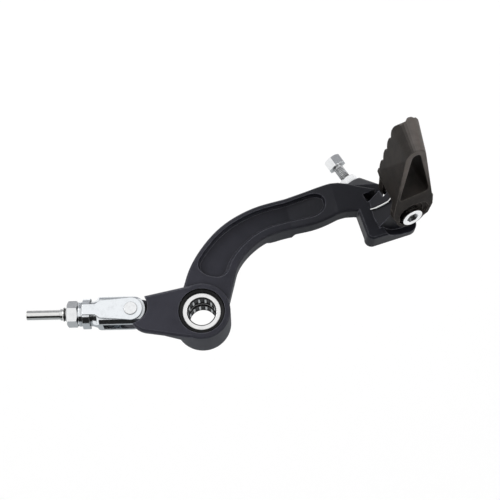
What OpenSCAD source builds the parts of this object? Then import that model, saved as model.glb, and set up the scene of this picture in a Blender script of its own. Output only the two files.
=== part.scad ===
// Rear brake pedal of an off-road motorcycle: forged lever on needle bearings, folding toothed step,
// stop screw, and a fork joint with its push rod.
// Origin: middle of the pivot bore. +X points forward to the step, +Z up, and -Y outboard.

/* [Pivot boss] */
// Outer radius of the pivot boss
boss_r = 16; // [15:0.5:19]
// Length of the pivot boss along the pivot
boss_len = 27; // [25:0.5:34]
// Rounding of the boss rims
boss_round = 1.3; // [0.5:0.1:2]
// Radius of the pivot shaft that the bearings run on
shaft_r = 7.5; // [6:0.25:8]
// Diameter of one needle
needle_d = 2; // [1.5:0.1:2.2]
// Number of needles in each bearing
needle_count = 14; // [10:1:15]
// Wall of the drawn bearing cup
cup_wall = 1; // [0.8:0.1:1.2]
// Room between the two bearings
bearing_gap = 3.2; // [1:0.2:6]
// Depth of the seal seat in each end of the boss
seal_depth = 2.4; // [2:0.1:3]
// Width of the seal ring, across its radius
seal_w = 2; // [1.5:0.1:2.5]

/* [Arm] */
// Thickness of the arm, outboard face to inboard face
arm_t = 13; // [10:0.5:16]
// Depth of the arm's face below the boss face
arm_set = 3; // [2:0.5:4]
// How far the arm steps outboard on its way forward
arm_joggle = 8.5; // [6:0.5:10]
// Depth of the pocket in the arm's outboard face
pocket_depth = 3.5; // [2:0.25:5]
// Rim above the pocket
rim_top = 2.6; // [2:0.1:4]
// Rim below the pocket
rim_low = 4.4; // [3:0.1:5]
// Height of the raised land on the inboard face
land_h = 3.5; // [2:0.5:5]
// Rounding of the arm's outboard edges
edge_out = 1.6; // [1:0.1:2]
// Rounding of the arm's inboard edges
edge_in = 3; // [2:0.1:4]

/* [Rear arm and fork joint] */
// Thickness of the raised plate between the boss and the fork
plate_t = 5.5; // [4:0.5:10]
// Distance from the pivot back to the fork pin
pin_back = 39.8; // [37:0.2:44]
// Height of the fork pin above the pivot
pin_up = 2.6; // [0:0.2:5]
// Radius of the fork pin
pin_r = 4; // [3.5:0.1:4.5]
// Thickness of the lever's tongue in the fork
tongue_t = 7.8; // [6:0.1:8]
// Side of the square fork
fork_w = 16; // [15:0.5:18]
// Length of the fork's square body behind the pin
fork_len = 19; // [18:0.5:24]
// Length of the fork's round neck
neck_len = 8.3; // [6:0.1:12]
// Step from the fork's faces down to its round neck
neck_step = 1; // [0.5:0.1:1.5]
// Radius of the rod's thread
rod_thread_r = 4; // [3:0.25:4.5]
// Radius of the rod's plain shank
rod_r = 2.75; // [2:0.25:3.5]
// Length of the rod behind its lock nut
rod_len = 23.2; // [15:0.2:40]
// Width across the flats of the rod's lock nut
rod_nut_w = 13; // [12:0.5:14]
// Thickness of the rod's lock nut
rod_nut_t = 6; // [5:0.25:7]
// Droop of the push rod towards its free end
rod_tilt = 1.4; // [0:0.1:4]

/* [Folding step] */
// Place of the step's pivot, forward of the lever's pivot
step_x = 112; // [106:0.5:118]
// Place of the step's pivot, above the lever's pivot
step_z = 60.5; // [58:0.5:66]
// Place of the step's pivot, outboard of the lever's middle plane
step_out = 24.3; // [22:0.1:27]
// Lean of the step's pivot towards the rear
step_rake = 25; // [20:0.5:30]
// Lift of the step's nose
step_lift = 13; // [8:0.5:16]
// Reach of the step from its pivot to its nose
step_reach = 59; // [52:0.5:64]
// Wall of the step's frame
step_wall = 3.5; // [3:0.1:4.5]
// Height of the lever's eye between the step's lugs
eye_h = 12; // [10:0.5:14]
// Radius of the lever's eye
eye_r = 8.5; // [8:0.1:9.5]
// Radius of the step's pivot bolt
bolt_r = 4; // [3.5:0.1:4.2]
// Wall of the bush in the eye
bush_wall = 1.4; // [1:0.1:2]
// Room above the eye for the return spring
spring_room = 5; // [4.5:0.1:6]
// Thickness of the spring wire
wire_d = 1.2; // [1:0.1:1.4]
// Height of the teeth on the step's rim
tooth_h = 3; // [1.5:0.1:3.5]
// Spacing of the teeth
tooth_pitch = 8.5; // [7.5:0.1:9.5]

/* [Stop screw] */
// Thread radius of the stop screw
stop_r = 3; // [2.5:0.1:3.2]
// Length of the stop screw below its head
stop_len = 29; // [22:0.5:34]
// Length of the stop screw above its lock nut
stop_free = 9.5; // [5:0.5:14]

/* [Hidden] */
$fn = 64;

fit = 0.03;
run = 0.05;
gap = 0.2;
through = 1;

boss_half = boss_len / 2;
needle_in_r = shaft_r + 0.02;
needle_pitch_r = needle_in_r + needle_d / 2;
raceway_r = needle_in_r + needle_d + 0.02;
cup_r = raceway_r + cup_wall;
cup_lip = 0.8;
cup_lip_r = needle_pitch_r - 0.3;
cup_end = boss_half - seal_depth + 0.5;
bearing_len = cup_end - bearing_gap / 2;
seal_r = cup_r + 0.3 + seal_w;
cage_r = shaft_r + 0.06;
cage_out_r = raceway_r - run;
cage_len = bearing_len - 2 * cup_lip - gap;
cage_ring = 1;
bar_relief = 0.3;

face_y = -boss_half + arm_set;
plate_in_y = plate_t - boss_half;
rib_in_y = tongue_t / 2;
pin = [-pin_back, 0, pin_up];
shoulder_r = fork_w / 2 + 1.8;
head_r = 5.9;
head_h = 4;
head_sink = 2.4;
head_clear = 1.5;
tooth_r = 4.5;
bolt_hole_r = bolt_r + run;
bush_r = bolt_hole_r + bush_wall;
eye_top = eye_h / 2;
lug_t = 4.6;
lug_low = -eye_top - gap - lug_t;
lug_top = eye_top + spring_room + gap;
step_top = lug_top + lug_t - 0.3;
root_r = 16.7;
shoulder_z = lug_top - 2 * gap;
coil_room_r = eye_r + 0.8;
web_t = 5;
eye_reach = 17.2;
fold_max = 65;
step_p = [step_x, -step_out, step_z];

// Centre line of the arm in the X-Z plane, with its half width: [x, z, half width]
arm_path = [[0, 0, 13.5], [4.6, 20, 13.3], [10.1, 33.3, 11.8], [19, 44.4, 10.9], [31.5, 53.1, 9.9],
    [46.5, 58.2, 9.6], [62, 61.3, 10.4], [76.5, 65.3, 9.5], [step_x - 25, step_z + 4.5, 7.8],
    [step_x - 15, step_z + 3, 7.6]];
pocket_from = 1.05;
pocket_to = 6.5;
land_from = 4.15;
land_to = 5.3;
joggle_from = 5.15;
joggle_to = 6.85;

function clamp01(u) = min(1, max(0, u));
function ease(u) = let(v = clamp01(u)) v * v * (3 - 2 * v);
function ramp(a, b, t) = clamp01((t - a) / (b - a));
function arc(c, r, a0, a1, n) = [for (i = [0:n]) let(a = a0 + (a1 - a0) * i / n) c + r * [cos(a), sin(a)]];

// Smooth curve through the points p, at the parameter t that counts points
function curve(p, t) =
    let(last = len(p) - 1, i = min(last - 1, floor(t)), u = t - i,
        a = p[max(0, i - 1)], b = p[i], c = p[i + 1], d = p[min(last, i + 2)])
    0.5 * (2 * b + (c - a) * u + (2 * a - 5 * b + 4 * c - d) * u * u + (3 * b - a - 3 * c + d) * u * u * u);

// Closed skin over rings that all have the same number of points
module skin(rings) {
    m = len(rings[0]);
    n = len(rings);
    sides = [for (i = [0:n - 2], j = [0:m - 1]) let(k = (j + 1) % m)
        each [[i * m + j, i * m + k, (i + 1) * m + k], [i * m + j, (i + 1) * m + k, (i + 1) * m + j]]];
    near = [for (j = [m - 1:-1:0]) j];
    far = [for (j = [0:m - 1]) (n - 1) * m + j];
    polyhedron(points = [for (r = rings) each r], faces = concat(sides, [near, far]), convexity = 6);
}

// Share of the pocket's full width and depth at t: round at both ends
function pocket_open(t) =
    let(u = min(t - pocket_from, pocket_to - t) / 0.5) u <= 0 ? 0 : sqrt(1 - pow(1 - clamp01(u), 2));

// Outline of the arm's section at t, as [across, y] points
function arm_outline(hw, out_y, in_y, open) =
    let(mid = (rim_low - rim_top) / 2, half = (hw - (rim_low + rim_top) / 2) * (0.12 + 0.88 * open),
        d = pocket_depth * min(1, open * 2.5), y1 = out_y + d, k = min(1, half / 4))
    concat(
        arc([-hw + edge_out, out_y + edge_out], edge_out, 180, 270, 4),
        [[mid - half, out_y], [mid - half + 0.3 * k, out_y + d * 0.4], [mid - half + 0.8 * k, y1 - d * 0.2],
            [mid - half + 1.9 * k, y1], [mid + half - 1.2 * k, y1], [mid + half - 0.4 * k, y1 - d * 0.25],
            [mid + half, out_y]],
        arc([hw - edge_out, out_y + edge_out], edge_out, 270, 360, 4),
        arc([hw - edge_in, in_y - edge_in], edge_in, 0, 90, 5),
        arc([-hw + edge_in, in_y - edge_in], edge_in, 90, 180, 5));

function arm_ring(t) =
    let(c = curve(arm_path, t), d = curve(arm_path, t + 0.02) - curve(arm_path, t - 0.02),
        l = norm([d[0], d[1]]), nx = -d[1] / l, nz = d[0] / l,
        shift = arm_joggle * ramp(joggle_from, joggle_to, t),
        land = land_h * ease(ramp(land_from, land_from + 0.15, t)) * ease(ramp(land_to, land_to - 0.15, t)),
        out_y = face_y - shift, in_y = face_y + arm_t - shift + land)
    [for (p = arm_outline(c[2], out_y, in_y, pocket_open(t))) [c[0] + nx * p[0], p[1], c[1] + nz * p[0]]];

arm_steps = concat([0.3, 0.6, 0.9], [for (i = [0:4]) pocket_from + i * 0.06], [for (t = [1.45:0.2:5.05]) t],
    [5.15, 5.3, 5.5, 5.7, 5.9, 6.05, 6.2], [for (i = [4:-1:0]) pocket_to - i * 0.05],
    [6.7, 6.85, 7.1, 7.5, 8, 8.5, 9]);

// Lays a shape drawn in the X-Z plane between two Y levels
module plate(y0, y1) {
    translate([0, y1, 0]) rotate([90, 0, 0]) linear_extrude(y1 - y0) children();
}

// Round bar along Y with softened rims, for hulls
module post(x, z, r, y0, y1, soft) {
    translate([x, y1, z]) rotate([90, 0, 0]) union() {
        translate([0, 0, soft]) cylinder(r = r, h = y1 - y0 - 2 * soft, $fn = 32);
        cylinder(r = r - soft, h = y1 - y0, $fn = 32);
    }
}

// Puts children on the step's pivot: Z along the pivot bolt, -Y towards the step's nose
module at_step() {
    translate(step_p) rotate([-step_lift, -step_rake, 0]) children();
}

// Puts children on the fork pin, with the push rod along -X
module at_pin() {
    translate(pin) rotate([0, -rod_tilt, 0]) children();
}

// Puts children on the stop screw: Z from its thread up to its head
stop_p = [step_x - 26, -1.5, step_z + 19.5];
stop_rake = 33;
module at_stop() {
    translate(stop_p) rotate([0, -stop_rake, 0]) children();
}

// Half profile of the boss, with round rims: [radius, height]
module boss_half_profile() {
    rim_x = boss_r - boss_round;
    rim_y = boss_half - boss_round;
    polygon(concat([[0, -boss_half]], arc([rim_x, -rim_y], boss_round, -90, 0, 4),
        arc([rim_x, rim_y], boss_round, 0, 90, 4), [[0, boss_half]]));
}

module lever_boss() {
    rotate([90, 0, 0]) rotate_extrude() boss_half_profile();
}

// Raised plate from the boss back to the fork's shoulder, with a lower rib behind it
module rear_arm() {
    rear_x = 10.8 - pin_back;
    difference() {
        union() {
            hull() {
                post(0, 0, boss_r - 0.1, -boss_half, plate_in_y, boss_round);
                post(rear_x, -1.5, 10.6, -boss_half, plate_in_y, boss_round);
            }
            plate(plate_in_y - 1, rib_in_y)
                polygon([[-6, boss_r - 1.5], [rear_x - 1, 6.5], [rear_x - 1, -7.5], [-8, 3 - boss_r]]);
        }
        translate(pin) rotate([90, 0, 0]) cylinder(r = shoulder_r, h = boss_len * 2, center = true);
    }
}

module tongue() {
    tongue_r = fork_w / 2 - 0.3;
    plate(-tongue_t / 2, tongue_t / 2) difference() {
        union() {
            translate([-pin_back, pin_up]) circle(r = tongue_r);
            polygon([[-pin_back + 1, pin_up + tongue_r - 0.1], [-pin_back + 12, tongue_r + 0.3],
                [-pin_back + 13, -tongue_r - 1.3], [-pin_back + 1, pin_up - tongue_r + 0.1]]);
        }
        translate([-pin_back, pin_up]) circle(r = pin_r + run);
    }
}

module front_end() {
    leg_out = face_y - arm_joggle;
    leg_in = leg_out + arm_t;
    shelf_in = leg_in + 1.5;
    leg_x = step_x - 16;
    leg_low = step_z - 15.5;
    // leg down from the arm
    hull() {
        post(leg_x - 4.5, step_z + 0.5, 4.6, leg_out, leg_in, 1.2);
        post(leg_x, leg_low, 4.2, leg_out, leg_in, 1.2);
    }
    // shelf under the step's lug
    hull() {
        post(leg_x, leg_low - 0.7, 4, leg_out, shelf_in, 1);
        post(step_x + 4.5, step_z - 8.2, 5, leg_out + 1, shelf_in, 1);
    }
    // web behind the eye
    plate(leg_in - web_t, leg_in) translate([step_x, step_z])
        polygon([[-24, 10.5], [-11, 10.5], [-2, 6.5], [7, -4.5], [-15, -15.5], [-21, -5.5]]);
    // eye and the arm that carries it, higher than the eye round the spring
    at_step() translate([0, 0, -eye_top]) linear_extrude(eye_top + shoulder_z) union() {
        circle(r = eye_r);
        polygon([[-eye_r * cos(45), -eye_r * sin(45)], [-eye_reach, eye_reach - eye_r / cos(45)],
            [-eye_reach, eye_reach], [eye_r / 2, eye_reach], [eye_r, 0]]);
    }
}

// Lug for the stop screw, on the arm's inboard side
module stop_lug() {
    hull() {
        at_stop() translate([0, 0, -9]) cylinder(r = stop_r + 4.2, h = 9, $fn = 32);
        translate([step_x - 26, -8, step_z + 9]) rotate([90, 0, 0]) cylinder(r = 5, h = 7, $fn = 32);
        translate([step_x - 13.5, -8, step_z + 10]) rotate([90, 0, 0]) cylinder(r = 5, h = 7, $fn = 32);
    }
}

module lever_arm() {
    color([0.09, 0.09, 0.11]) difference() {
        union() {
            skin([for (t = arm_steps) arm_ring(t)]);
            lever_boss();
            rear_arm();
            tongue();
            front_end();
            stop_lug();
        }
        rotate([90, 0, 0]) {
            cylinder(r = cup_r + fit, h = boss_len + 2 * through, center = true);
            for (s = [-1, 1])
                translate([0, 0, s * (boss_half - seal_depth / 2 + through / 2)])
                    cylinder(r = seal_r + fit, h = seal_depth + through, center = true);
        }
        translate(pin) rotate([90, 0, 0]) {
            for (s = [-1, 1])
                translate([0, 0, s * (tongue_t / 2 + 10)]) cylinder(r = shoulder_r, h = 20, center = true);
            cylinder(r = pin_r + run, h = boss_len, center = true);
        }
        at_step() {
            translate([0, 0, -eye_top - through]) cylinder(r = bush_r + fit, h = eye_h + 2 * through);
            translate([0, 0, eye_top]) cylinder(r = coil_room_r, h = spring_room + 1);
            translate([0, 0, shoulder_z]) cylinder(r = root_r, h = step_top + 2 * gap - shoulder_z);
            translate([0, 0, lug_low - gap - 4]) cylinder(r = root_r, h = lug_t + 2 * gap + 4);
        }
        at_stop() translate([0, 0, -30]) cylinder(r = stop_r + run, h = 40);
    }
}

module bearing_cup() {
    rotate([90, 0, 0]) rotate_extrude() polygon([[cup_lip_r, 0], [cup_r, 0], [cup_r, bearing_len],
        [cup_lip_r, bearing_len], [cup_lip_r, bearing_len - cup_lip], [raceway_r, bearing_len - cup_lip],
        [raceway_r, cup_lip], [cup_lip_r, cup_lip]]);
}

// Cage that rides on the shaft with its end rings, while its bars between the needles stand back from it
module needle_cage() {
    slot = needle_d + 2 * run;
    bar_end = cage_ring - gap;
    translate([0, -cup_lip - gap / 2, 0]) rotate([90, 0, 0]) difference() {
        rotate_extrude() polygon([[cage_r, 0], [cage_out_r, 0], [cage_out_r, cage_len], [cage_r, cage_len],
            [cage_r, cage_len - bar_end], [cage_r + bar_relief, cage_len - bar_end],
            [cage_r + bar_relief, bar_end], [cage_r, bar_end]]);
        for (i = [0:needle_count - 1])
            rotate([0, 0, i * 360 / needle_count])
                translate([cage_r - 1, -slot / 2, cage_ring])
                    cube([needle_d + 2, slot, cage_len - 2 * cage_ring]);
    }
}

module needles() {
    h = cage_len - 2 * (cage_ring + run);
    translate([0, -cup_lip - gap / 2 - cage_ring - run, 0]) rotate([90, 0, 0])
        for (i = [0:needle_count - 1])
            rotate([0, 0, i * 360 / needle_count]) translate([needle_pitch_r, 0, 0])
                cylinder(r = needle_d / 2, h = h);
}

module seal_ring() {
    t = seal_depth - 0.5;
    rotate([90, 0, 0]) rotate_extrude() polygon([[seal_r - seal_w, 0], [seal_r, 0], [seal_r, t - 0.5],
        [seal_r - 0.5, t], [seal_r - seal_w, t - 0.6]]);
}

// Puts a bearing piece, drawn from the boss's end inwards, at the outboard or the inboard end
module at_outer() { mirror([0, 1, 0]) translate([0, cup_end, 0]) children(); }
module at_inner() { translate([0, cup_end, 0]) children(); }

module bearing_cup_outer() { color("silver") at_outer() bearing_cup(); }
module bearing_cup_inner() { color("silver") at_inner() bearing_cup(); }
module needle_cage_outer() { color([0.15, 0.15, 0.16]) at_outer() needle_cage(); }
module needle_cage_inner() { color([0.15, 0.15, 0.16]) at_inner() needle_cage(); }
module needles_outer() { color([0.8, 0.8, 0.82]) at_outer() needles(); }
module needles_inner() { color([0.8, 0.8, 0.82]) at_inner() needles(); }

seal_seat = boss_half - seal_depth + 0.02;
module seal_ring_outer() { color([0.05, 0.05, 0.05]) translate([0, -seal_seat, 0]) seal_ring(); }
module seal_ring_inner() {
    color([0.05, 0.05, 0.05]) translate([0, seal_seat, 0]) mirror([0, 1, 0]) seal_ring();
}

module step_bush() {
    color([0.7, 0.7, 0.7]) at_step() translate([0, 0, -eye_top - gap / 2]) difference() {
        cylinder(r = bush_r, h = eye_h + gap);
        translate([0, 0, -through]) cylinder(r = bolt_hole_r, h = eye_h + gap + 2 * through);
    }
}

// Plan of the step's frame at one level, pulled in by w. root is [left, right, y] and nose is [x, y, radius]
module step_plan(w, root, nose) {
    corner_r = 2;
    linear_extrude(0.1) {
        for (x = [root[0] + w + corner_r, root[1] - w - corner_r])
            translate([x, root[2]]) circle(r = corner_r, $fn = 32);
        translate([nose[0], nose[1]]) circle(r = nose[2] - w, $fn = 32);
    }
}

root_low = [-11.2, 13.2, -7];
root_high = [-7.4, 13.6, -15];
nose_low = [1, 6 - step_reach, 6];
nose_high = [8.9, nose_low[1] + 9.6, 8.6];
window_y = -20.5;

// Room that the lever's eye, its arm and the spring need in the step while it folds
module eye_room() {
    reach = eye_reach + 1.8;
    face = eye_r + 1.9;
    a = 225 + fold_max;
    circle(r = face);
    polygon(concat([[0, 0]], arc([0, 0], reach, 60, a - acos(face / reach), 16), [face * [cos(a), sin(a)]]));
}

module step() {
    land = 0.12;
    nose_tooth_r = tooth_r - 0.7;
    color([0.23, 0.21, 0.2]) at_step() difference() {
        union() {
            hull() {
                translate([0, 0, lug_low]) step_plan(0, root_low, nose_low);
                translate([0, 0, step_top - 0.1]) step_plan(0, root_high, nose_high);
            }
            // lugs round the pivot bolt
            translate([0, 0, lug_low]) linear_extrude(lug_t - 0.3) {
                circle(r = 9.2);
                polygon([[-11, -9], [-11, -3.7], [-8, 2.5], [6, 6], [10.5, 3.5], [13.1, -3.5],
                    [13.1, -12], [0, -12]]);
            }
            translate([0, 0, lug_top]) linear_extrude(lug_t - 0.3) {
                circle(r = 6.6);
                polygon([[-6.6, 0], [6.6, 0], [12.4, -16], [-5.8, -16]]);
            }
        }
        // open frame
        hull() {
            translate([0, 0, lug_low - through])
                step_plan(step_wall, [root_low[0], root_low[1], window_y], nose_low);
            translate([0, 0, step_top + through])
                step_plan(step_wall, [root_high[0] + 1, root_high[1], window_y], nose_high);
        }
        // room between the lugs
        translate([0, 0, -eye_top - gap]) linear_extrude(eye_h + spring_room + 2 * gap) eye_room();
        // bolt hole and head recess
        translate([0, 0, lug_low - through]) cylinder(r = bolt_hole_r, h = 40);
        translate([0, 0, lug_low - through]) cylinder(r = head_r + head_clear, h = head_sink + through);
        translate([0, -2.6, lug_low - through]) cylinder(r = head_r + head_clear, h = head_sink + through);
        translate([3.6, -2.6, lug_low - through]) cylinder(r = head_r + head_clear - 0.6, h = 1.2 + through);
        // round-topped teeth along the walls, and one on the nose
        difference() {
            translate([-30, -100, step_top - tooth_h]) cube([60, 100 + root_high[2] - 2.5, 2 * tooth_h]);
            for (i = [0:3])
                translate([-30, root_high[2] - 7.2 - i * tooth_pitch, step_top - tooth_r + land])
                    rotate([0, 90, 0]) cylinder(r = tooth_r, h = 60);
            translate([nose_high[0], nose_high[1], step_top - nose_tooth_r + land]) rotate([90, 0, 20])
                cylinder(r = nose_tooth_r, h = 30);
        }
    }
}

module step_pivot_bolt() {
    floor_z = lug_low + head_sink;
    color("silver") at_step() difference() {
        union() {
            translate([0, 0, floor_z - head_h]) cylinder(r = head_r, h = head_h - run);
            translate([0, 0, floor_z - 1]) cylinder(r = bolt_r, h = step_top - floor_z);
        }
        translate([0, 0, floor_z - head_h - through]) cylinder(r = 3.6, h = 2.6 + through, $fn = 6);
    }
}

// Torsion spring on the pivot bolt: a leg that hooks down round the eye and along its arm, the coil, and
// a short leg for the step
module step_spring() {
    coil_r = bolt_r + wire_d / 2 + 0.7;
    turns = 2.5;
    per_turn = 14;
    wire_r = wire_d / 2;
    z0 = eye_top + wire_r + 0.15;
    pitch = wire_d + 0.1;
    off = eye_r + wire_r + 0.25;
    // the leg along the arm's slanted face: [distance along the face, height]
    leg = [for (p = [[14.3, 5.5], [11.2, 3.8], [6.2, 1.9], [2.1, 0.6]])
        [-(off + p[0]) * cos(45), (p[0] - off) * cos(45), p[1]]];
    // the hook up round the eye: [angle, height]
    hook = [for (p = [[228, 0.9], [232, 2.2], [235, 4.2], [238, 6.2]])
        [off * cos(p[0]), off * sin(p[0]), p[1]]];
    coil = [for (i = [0:per_turn * turns])
        let(a = 246 + i * 360 / per_turn, r = coil_r + (off - 0.4 - coil_r) * (1 - ease(i / 6)))
        [r * cos(a), r * sin(a), z0 + pitch * i / per_turn]];
    end = coil[len(coil) - 1];
    route = concat(leg, hook, coil, [end + [-1.4, 1, 0.1]]);
    last = len(route) - 1;
    color([0.85, 0.85, 0.85]) at_step() skin([for (i = [0:last])
        let(d = route[min(last, i + 1)] - route[max(0, i - 1)], t = d / norm(d),
            u = cross(t, [0.2, 0.3, 1]) / norm(cross(t, [0.2, 0.3, 1])), v = cross(u, t))
        [for (k = [0:7]) route[i] + wire_r * (cos(k * 45) * u + sin(k * 45) * v)]]);
}

module hex_nut(w, t, hole) {
    corner = w / 2 / cos(30);
    difference() {
        intersection() {
            cylinder(r = corner, h = t, $fn = 6);
            rotate_extrude() polygon([[0, 0], [w / 2, 0], [corner + 0.1, 0.7], [corner + 0.1, t - 0.7],
                [w / 2, t], [0, t]]);
        }
        translate([0, 0, -through]) cylinder(r = hole, h = t + 2 * through);
    }
}

// Threaded bar from z = 0 up: rings of the thread's pitch and depth
module thread_bar(r, pitch, h) {
    turns = floor(h / pitch);
    rotate_extrude() polygon(concat([[0, 0]], [for (i = [0:turns - 1]) each [[r - pitch * 0.55, i * pitch],
        [r, (i + 0.42) * pitch], [r, (i + 0.58) * pitch]]], [[r - pitch * 0.55, turns * pitch],
        [r - pitch * 0.55, h], [0, h]]));
}

stop_nut_t = 4.6;
stop_nut_w = 10;
module stop_screw() {
    under_head = stop_nut_t + stop_free;
    pitch = 1;
    color("silver") at_stop() {
        translate([0, 0, under_head - stop_len]) cylinder(r = stop_r, h = stop_len - stop_free + 0.6);
        translate([0, 0, stop_nut_t + 0.5]) thread_bar(stop_r, pitch, stop_free - 1.5);
        translate([0, 0, under_head - 1.2]) cylinder(r = stop_r - 0.2, h = 1.5);
        translate([0, 0, under_head]) rotate([0, 0, 12]) intersection() {
            cylinder(r = stop_nut_w / 2 / cos(30), h = 6, $fn = 6);
            rotate_extrude() polygon([[0, 0], [stop_nut_w / 2 + 0.8, 0], [stop_nut_w / 2 + 0.8, 5.3],
                [stop_nut_w / 2, 6], [0, 6]]);
        }
    }
}

module stop_screw_nut() {
    color("silver") at_stop() translate([0, 0, run]) hex_nut(stop_nut_w, stop_nut_t, stop_r + fit);
}

neck_r = fork_w / 2 - neck_step;
fork_end = -fork_len - 2.7;
neck_end = fork_end - neck_len;
nut_end = neck_end - 0.1 - rod_nut_t;
slot_w = tongue_t + 2 * gap;

module clevis_fork() {
    color([0.8, 0.82, 0.84]) at_pin() difference() {
        intersection() {
            union() {
                translate([-fork_len, -fork_w / 2, -fork_w / 2]) cube([fork_len, fork_w, fork_w]);
                rotate([90, 0, 0]) cylinder(r = fork_w / 2, h = fork_w, center = true);
                translate([neck_end, 0, 0]) rotate([0, 90, 0]) cylinder(r = neck_r, h = neck_len + 4);
                translate([fork_end, 0, 0]) rotate([0, 90, 0])
                    cylinder(r1 = neck_r, r2 = fork_w / 2, h = 2.8);
            }
            translate([neck_end, 0, 0]) rotate([0, 90, 0]) rotate_extrude()
                polygon([[0, 0], [neck_r - 0.6, 0], [neck_r, 0.6], [neck_r, neck_len],
                    [fork_w * 0.62, neck_len + 4], [fork_w * 0.62, neck_len + 60], [0, neck_len + 60]]);
        }
        translate([-fork_len + 3.2, -slot_w / 2, -fork_w]) cube([fork_len + fork_w, slot_w, 2 * fork_w]);
        rotate([90, 0, 0]) cylinder(r = pin_r + run, h = 2 * fork_w, center = true);
        translate([neck_end - through, 0, 0]) rotate([0, 90, 0]) cylinder(r = rod_thread_r + fit, h = 14);
    }
}

pin_neck_r = pin_r - 0.9;
module clevis_pin() {
    color([0.85, 0.86, 0.88]) at_pin() rotate([90, 0, 0]) union() {
        translate([0, 0, -fork_w / 2 - 0.8]) cylinder(r = pin_r, h = fork_w + 0.8);
        translate([0, 0, -fork_w / 2 - 2]) cylinder(r = pin_r + 1.4, h = 1.9);
        translate([0, 0, fork_w / 2]) cylinder(r = pin_neck_r, h = 1.2);
        translate([0, 0, fork_w / 2 + 1.2]) cylinder(r = pin_neck_r + 0.4, h = 0.6);
    }
}

// Spring clip: a plate on the fork's face that holds the pin, and a band round the fork's neck
module pin_clip() {
    t = 1;
    y1 = -fork_w / 2 - 0.05;
    band_x = fork_end - 3.4;
    color([0.82, 0.84, 0.86]) at_pin() union() {
        plate(y1 - t, y1) difference() {
            union() {
                circle(r = 6.4);
                polygon([[0, -6.4], [0, 6.4], [-fork_len + 2, 5], [-fork_len - 1, 3], [band_x - 2, 3],
                    [band_x - 2, -3], [-fork_len - 1, -3], [-fork_len + 2, -5]]);
            }
            circle(r = pin_neck_r + run);
        }
        translate([band_x - 2, 0, 0]) rotate([0, 90, 0]) rotate_extrude(angle = 250, start = 145)
            polygon([[neck_r + 0.5, 0], [neck_r + 1.6, 0], [neck_r + 1.6, 4], [neck_r + 0.5, 4]]);
    }
}

module rod_lock_nut() {
    color("silver") at_pin() translate([nut_end, 0, 0]) rotate([0, 90, 0]) rotate([0, 0, 19])
        hex_nut(rod_nut_w, rod_nut_t, rod_thread_r + fit);
}

module push_rod() {
    thread_out = 3.9;
    pitch = 1.25;
    color([0.8, 0.8, 0.82]) at_pin() rotate([0, -90, 0]) union() {
        translate([0, 0, -neck_end - 12]) cylinder(r = rod_thread_r, h = 12 + rod_nut_t + 0.4);
        translate([0, 0, -nut_end + 0.2]) thread_bar(rod_thread_r, pitch, thread_out - 0.2);
        translate([0, 0, -nut_end]) cylinder(r = rod_r, h = rod_len - 0.4);
        translate([0, 0, rod_len - 0.4 - nut_end]) cylinder(r1 = rod_r, r2 = rod_r - 0.4, h = 0.4);
    }
}

lever_arm();
bearing_cup_outer();
bearing_cup_inner();
needle_cage_outer();
needle_cage_inner();
needles_outer();
needles_inner();
seal_ring_outer();
seal_ring_inner();
step_bush();
step();
step_pivot_bolt();
step_spring();
stop_screw();
stop_screw_nut();
clevis_fork();
clevis_pin();
pin_clip();
rod_lock_nut();
push_rod();
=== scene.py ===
import math

import bpy
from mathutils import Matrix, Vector

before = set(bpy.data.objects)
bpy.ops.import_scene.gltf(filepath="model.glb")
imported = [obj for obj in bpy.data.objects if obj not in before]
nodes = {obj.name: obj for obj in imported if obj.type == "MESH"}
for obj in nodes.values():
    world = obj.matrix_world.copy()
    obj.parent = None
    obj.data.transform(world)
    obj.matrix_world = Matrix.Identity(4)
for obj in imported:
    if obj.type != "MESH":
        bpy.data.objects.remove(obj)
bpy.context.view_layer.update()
MM = 0.001
WHITE = (1, 1, 1, 1)


# Shader maths


class Wire:
    """A shader socket that takes part in sums, so that a mask reads as 1 - wear * grain."""

    def __init__(self, shading, socket):
        self.shading, self.socket = shading, socket

    def maths(self, operation, a, b):
        return self.shading.node("ShaderNodeMath", {"operation": operation}, {0: a, 1: b})

    def __add__(self, other):
        return self.maths("ADD", self, other)

    def __sub__(self, other):
        return self.maths("SUBTRACT", self, other)

    def __rsub__(self, other):
        return self.maths("SUBTRACT", other, self)

    def __mul__(self, other):
        return self.maths("MULTIPLY", self, other)

    __radd__ = __add__
    __rmul__ = __mul__


class Shading:
    """A node tree, with the one way in which all of its nodes are made."""

    def __init__(self, tree):
        self.tree = tree
        self.tree.nodes.clear()

    def node(self, kind, settings=None, inputs=None, output=0):
        """A node with its settings first, then the values or wires of its sockets."""
        made = self.tree.nodes.new(kind)
        for name, value in (settings or {}).items():
            setattr(made, name, value)
        for name, value in (inputs or {}).items():
            if isinstance(value, Wire):
                self.tree.links.new(value.socket, made.inputs[name])
            else:
                made.inputs[name].default_value = value
        return Wire(self, made.outputs[output]) if made.outputs else None

    def seen_direct_or_mirrored(self):
        """1 for what the camera sees, straight or in bright metal, and 0 for light that falls on things."""
        direct = self.node("ShaderNodeLightPath", output="Is Camera Ray")
        return direct + self.node("ShaderNodeLightPath", output="Is Glossy Ray")

    def step(self, wire, low, high):
        """0 below low, 1 above high, and smooth between them."""
        return self.node("ShaderNodeMapRange", {"interpolation_type": "SMOOTHSTEP"},
                         {"Value": wire, "From Min": low, "From Max": high}, "Result")

    def mix(self, share, a, b):
        """Colour a where share is 0, and b where it is 1."""
        a, b = [c if isinstance(c, Wire) else (*c, 1) for c in (a, b)]
        return self.node("ShaderNodeMix", {"data_type": "RGBA"}, {0: share, 6: a, 7: b}, 2)


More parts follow.
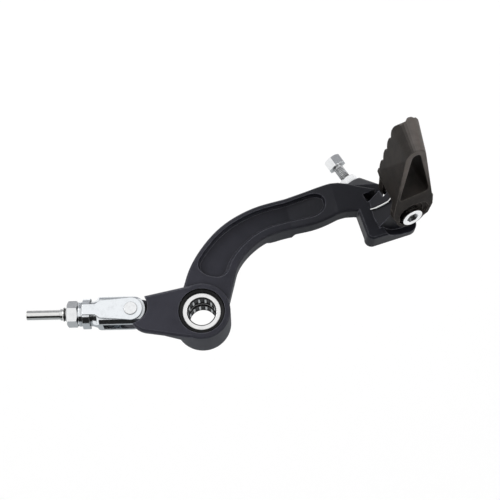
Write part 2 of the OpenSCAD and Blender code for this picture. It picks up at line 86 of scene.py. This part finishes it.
class Finish(Shading):
    """One surface finish, and the patterns that it is made of."""

    def __init__(self, name):
        self.material = bpy.data.materials.new(name)
        self.material.use_nodes = True
        super().__init__(self.material.node_tree)

    def skin(self, **sockets):
        """The surface shader, with constants on its sockets and wires for what changes over the surface."""
        named = {socket.replace("_", " "): value for socket, value in sockets.items()}
        return self.node("ShaderNodeBsdfPrincipled", {}, named)

    def shown(self, surface):
        """The material, with surface as what shows."""
        self.node("ShaderNodeOutputMaterial", {}, {"Surface": surface})
        return self.material

    def place(self):
        return self.node("ShaderNodeTexCoord", output="Object")

    def axis(self, name):
        """Place along one of the pedal's own axes, in metres."""
        return self.node("ShaderNodeSeparateXYZ", {}, {0: self.place()}, name)

    def noise(self, size, detail, roughness):
        """Cloudy pattern whose blotches are about size metres across."""
        inputs = {"Vector": self.place(), "Scale": 1 / size, "Detail": detail, "Roughness": roughness}
        return self.node("ShaderNodeTexNoise", {"noise_dimensions": "3D"}, inputs)

    def soft_edges(self, radius):
        return self.node("ShaderNodeBevel", {"samples": 6}, {"Radius": radius}, "Normal")

    def flat(self):
        return self.node("ShaderNodeNewGeometry", output="Normal")

    def edge(self, soft, low, high):
        """1 along the edges that soft rounds over, 0 on flat faces."""
        normals = {0: soft, 1: self.flat()}
        dot = self.node("ShaderNodeVectorMath", {"operation": "DOT_PRODUCT"}, normals, "Value")
        return self.step(1 - dot, low, high)

    def openness(self, reach, low, high):
        """0 deep in corners narrower than reach, 1 on open faces."""
        light = self.node("ShaderNodeAmbientOcclusion", {"samples": 6}, {"Distance": reach}, "AO")
        return self.step(light, low, high)

    def relief(self, height, depth, strength, soft=None):
        """Fine bumps of height times depth, on edges that soft rounds over."""
        inputs = {"Height": height, "Distance": depth, "Strength": strength}
        if soft:
            inputs["Normal"] = soft
        return self.node("ShaderNodeBump", {}, inputs, "Normal")


# Finishes


def black_coat():
    """Satin black coat over a forging: painted shade in the corners, rims lighter from wear and a painted
    highlight, faint orange peel, and painted light that makes the rear paler.
    """
    f = Finish("lever_black_coat")
    soft = f.soft_edges(0.9 * MM)
    peel = f.noise(0.45 * MM, 3, 0.6)
    cloud = f.noise(9 * MM, 4, 0.55)
    # Lighter rims: partly worn coat, partly a painted highlight along the edges.
    rim = f.edge(soft, 0.005, 0.12) * (0.45 + 0.55 * f.step(f.noise(2.2 * MM, 4, 0.7), 0.3, 0.7))
    # Painted light: the coat is paler towards the rear, in blotches.
    rear_painted_light = f.step(f.axis("X"), 80 * MM, -40 * MM) * (0.6 + cloud * 0.8)
    coat = f.mix(cloud, (0.0055, 0.0058, 0.0092), (0.0115, 0.0120, 0.0165))
    rear_lit_coat = f.mix(rear_painted_light, coat, (0.0330, 0.0330, 0.0440))
    # Painted shade: the coat goes near black in corners and recesses.
    shaded_corner_coat = f.mix(f.openness(3.5 * MM, 0.3, 0.9), (0.0012, 0.0012, 0.0016), rear_lit_coat)
    return f.shown(f.skin(
        Base_Color=f.mix(rim, shaded_corner_coat, (0.12, 0.122, 0.145)), IOR=1.27,
        Roughness=0.34 + cloud * 0.14 + peel * 0.05, Normal=f.relief(peel, 0.02 * MM, 0.5, soft)))


def cast_step():
    """Dark brown-grey casting with a sandy skin, rubbed lighter on the rims, and paler near the nose,
    partly from boot wear and partly a painted sheen.
    """
    f = Finish("step_casting")
    soft = f.soft_edges(1.1 * MM)
    sand = f.noise(0.5 * MM, 4, 0.65)
    cloud = f.noise(6 * MM, 4, 0.6)
    # Paler and smoother near the nose on faces that turn towards +X: partly boot wear, partly a painted
    # highlight.
    facing = f.node("ShaderNodeSeparateXYZ", {}, {0: f.flat()}, "X")
    boot_wear_and_sheen = f.step(f.axis("Y") * -1, 40 * MM, 72 * MM) * f.step(facing, -0.65, 0.0)
    rubbed = f.edge(soft, 0.003, 0.1) * f.step(f.noise(1.6 * MM, 3, 0.7), 0.2, 0.6)
    casting = f.mix(f.step(cloud, 0.3, 0.72), (0.0085, 0.0064, 0.0050), (0.0170, 0.0132, 0.0108))
    pale = f.mix(boot_wear_and_sheen * (0.35 + cloud * 0.6), casting, (0.115, 0.099, 0.089))
    return f.shown(f.skin(
        Base_Color=f.mix(rubbed, pale, (0.085, 0.076, 0.07)), IOR=1.27, Metallic=rubbed * 0.2,
        Roughness=0.6 - boot_wear_and_sheen * 0.14 + sand * 0.12, Normal=f.relief(sand, 0.07 * MM, 0.8, soft)))


def plated(name, tint, roughness, edge=0.35 * MM, shade_and_oil_strength=0.9):
    """Bright plate: faint cloud in the shine, fine tool marks, soft rims, and in the corners a painted
    shade over a rougher, oily surface.
    """
    f = Finish(name)
    marks = f.noise(0.12 * MM, 2, 0.6)
    cloud = f.noise(2.5 * MM, 3, 0.6)
    # Painted shade: darker in corners and recesses such as thread roots and sockets; the same mask makes
    # them rougher.
    shade_and_oil = shade_and_oil_strength - f.openness(4 * MM, 0.4, 0.85) * shade_and_oil_strength
    plate = f.mix(f.step(cloud, 0.4, 0.9) * 0.5, tint, tuple(0.75 * c for c in tint))
    return f.shown(f.skin(
        Base_Color=f.mix(shade_and_oil, plate, (0.02, 0.019, 0.018)), Metallic=1.0,
        Roughness=roughness + cloud * 0.06 + marks * 0.04 + shade_and_oil * 0.2,
        Normal=f.relief(marks, 0.003 * MM, 0.3, f.soft_edges(edge))))


def seal_rubber():
    """Matt black lip seal with a faint bloom."""
    f = Finish("seal_rubber")
    bloom = f.noise(1.2 * MM, 3, 0.6)
    return f.shown(f.skin(
        Base_Color=f.mix(bloom, (0.0035, 0.0035, 0.004), (0.009, 0.009, 0.0095)), IOR=1.25,
        Roughness=0.36 + bloom * 0.2, Normal=f.relief(bloom, 0.01 * MM, 0.3, f.soft_edges(0.3 * MM))))


def cage_black():
    """Oily dark steel strip of the needle cages."""
    f = Finish("cage_black_oxide")
    film = f.noise(0.9 * MM, 3, 0.6)
    return f.shown(f.skin(
        Base_Color=f.mix(film, (0.008, 0.008, 0.009), (0.02, 0.02, 0.021)), Metallic=0.6,
        Roughness=0.32 + film * 0.2, Normal=f.relief(film, 0.006 * MM, 0.3)))


zinc = plated("zinc_plate", (0.86, 0.87, 0.88), 0.09, edge=0.15 * MM)
finishes = {
    "lever_arm": black_coat(),
    "step": cast_step(),
    "bearing_cup_outer": plated("drawn_cup_steel", (0.84, 0.84, 0.84), 0.16, shade_and_oil_strength=0.5),
    "needle_cage_outer": cage_black(),
    "needles_outer": plated("needle_steel", (0.8, 0.8, 0.8), 0.1, edge=0.1 * MM, shade_and_oil_strength=0.6),
    "seal_ring_outer": seal_rubber(),
    "step_bush": plated("bush_steel", (0.7, 0.7, 0.71), 0.25),
    "step_pivot_bolt": zinc,
    "step_spring": plated("spring_wire", (0.85, 0.85, 0.84), 0.1, edge=0.1 * MM, shade_and_oil_strength=0.3),
    "stop_screw": zinc,
    "stop_screw_nut": zinc,
    "clevis_fork": plated("fork_zinc", (0.84, 0.87, 0.9), 0.07),
    "clevis_pin": zinc,
    "pin_clip": plated("clip_strip", (0.85, 0.88, 0.91), 0.08, edge=0.25 * MM),
    "rod_lock_nut": zinc,
    "push_rod": plated("rod_steel", (0.8, 0.8, 0.79), 0.1, edge=0.12 * MM),
}
for pair in ("bearing_cup", "needle_cage", "needles", "seal_ring"):
    finishes[pair + "_inner"] = finishes[pair + "_outer"]
for name, finish in finishes.items():
    nodes[name].data.materials.clear()
    nodes[name].data.materials.append(finish)


# Backdrop and flags


def backdrop_paper():
    """Plain white paper, seen from its front only."""
    f = Finish("backdrop_paper")
    paper = f.skin(Base_Color=(0.86, 0.86, 0.86, 1), Roughness=0.9)
    glow = f.node("ShaderNodeEmission", {}, {"Color": WHITE, "Strength": 1.0})
    front = f.node("ShaderNodeMixShader", {}, {0: f.seen_direct_or_mirrored() * 0.9, 1: paper, 2: glow})
    behind = f.node("ShaderNodeNewGeometry", output="Backfacing")
    clear = f.node("ShaderNodeBsdfTransparent")
    return f.shown(f.node("ShaderNodeMixShader", {}, {0: behind, 1: front, 2: clear}))


def sheet(name, line, wide, material):
    """A band of cloth along line, a list of (y, z), that reaches as far as wide on either side."""
    mesh = bpy.data.meshes.new(name)
    points = [(x, y, z) for y, z in line for x in (-wide, wide)]
    mesh.from_pydata(points, [], [(2 * i, 2 * i + 2, 2 * i + 3, 2 * i + 1) for i in range(len(line) - 1)])
    mesh.materials.append(material)
    made = bpy.data.objects.new(name, mesh)
    bpy.context.scene.collection.objects.link(made)
    for face in mesh.polygons:
        face.use_smooth = True
    return made


def backdrop():
    """Paper that hangs behind the pedal and sweeps forward under it."""
    wall, floor, bend, bend_steps = 0.24, -0.42, 0.2, 12
    turns = [i * math.pi / 2 / bend_steps for i in range(bend_steps + 1)]
    sweep = [(wall - bend + bend * math.cos(a), floor + bend - bend * math.sin(a)) for a in turns]
    return sheet("backdrop", [(wall, 1.6), *sweep, (-2.2, floor)], 2.2, backdrop_paper())


def flag(name, shade, line, wide):
    """A cloth of one colour that only reflections show, for the bands in bright metal."""
    f = Finish(name)
    made = sheet(name, line, wide, f.shown(f.node("ShaderNodeEmission", {}, {"Color": (*shade, 1)})))
    made.visible_camera = made.visible_diffuse = made.visible_transmission = made.visible_shadow = False


backdrop()
flag("dark_flag", (0.02, 0.02, 0.02), [(-0.36, -0.28), (0.0, -0.28)], 0.5)
flag("low_flag", (0.42, 0.44, 0.45), [(0.0, -0.40), (0.12, -0.36), (0.21, -0.2), (0.22, 0.1)], 0.2)
flag("high_flag", (0.34, 0.345, 0.36), [(-0.75, 0.6), (0.5, 0.6)], 0.9)


# Light and camera


def studio_air():
    """White all round: full white where it is seen or mirrored, and softer where it lights things."""
    world = bpy.data.worlds.new("studio")
    world.use_nodes = True
    bpy.context.scene.world = world
    air = Shading(world.node_tree)
    strength = 0.45 + air.seen_direct_or_mirrored() * 0.55
    light = air.node("ShaderNodeBackground", {}, {"Color": WHITE, "Strength": strength})
    air.node("ShaderNodeOutputWorld", {}, {"Surface": light})


def softbox(name, place, size, power):
    """A lamp behind cloth of the given size, turned to the middle of the pedal."""
    data = bpy.data.lights.new(name, "AREA")
    data.shape, data.size, data.size_y = "RECTANGLE", *size
    data.energy = power
    made = bpy.data.objects.new(name, data)
    made.location = place
    towards = Vector((0.01, 0, 0.03)) - Vector(place)
    made.rotation_euler = towards.to_track_quat("-Z", "Y").to_euler()
    bpy.context.scene.collection.objects.link(made)


def studio_camera():
    """The photograph's own view: from the outboard side, looking up at the pedal by 20 degrees."""
    data = bpy.data.cameras.new("camera")
    data.lens, data.sensor_width = 80.35, 36
    data.clip_start, data.clip_end = 0.01, 20
    camera = bpy.data.objects.new("camera", data)
    camera.location = (0.0267, -0.6033, -0.1792)
    camera.rotation_euler = (math.radians(90 + 20), 0, 0)
    bpy.context.scene.collection.objects.link(camera)
    bpy.context.scene.camera = camera


studio_air()
softbox("overhead_softbox", (0.0, -0.15, 0.75), (0.7, 0.5), 6.0)
softbox("left_softbox", (-0.75, -0.5, 0.3), (0.4, 0.6), 3.0)
softbox("right_softbox", (0.7, -0.6, 0.1), (0.3, 0.6), 1.6)
studio_camera()
bpy.context.scene.view_settings.view_transform = "Standard"
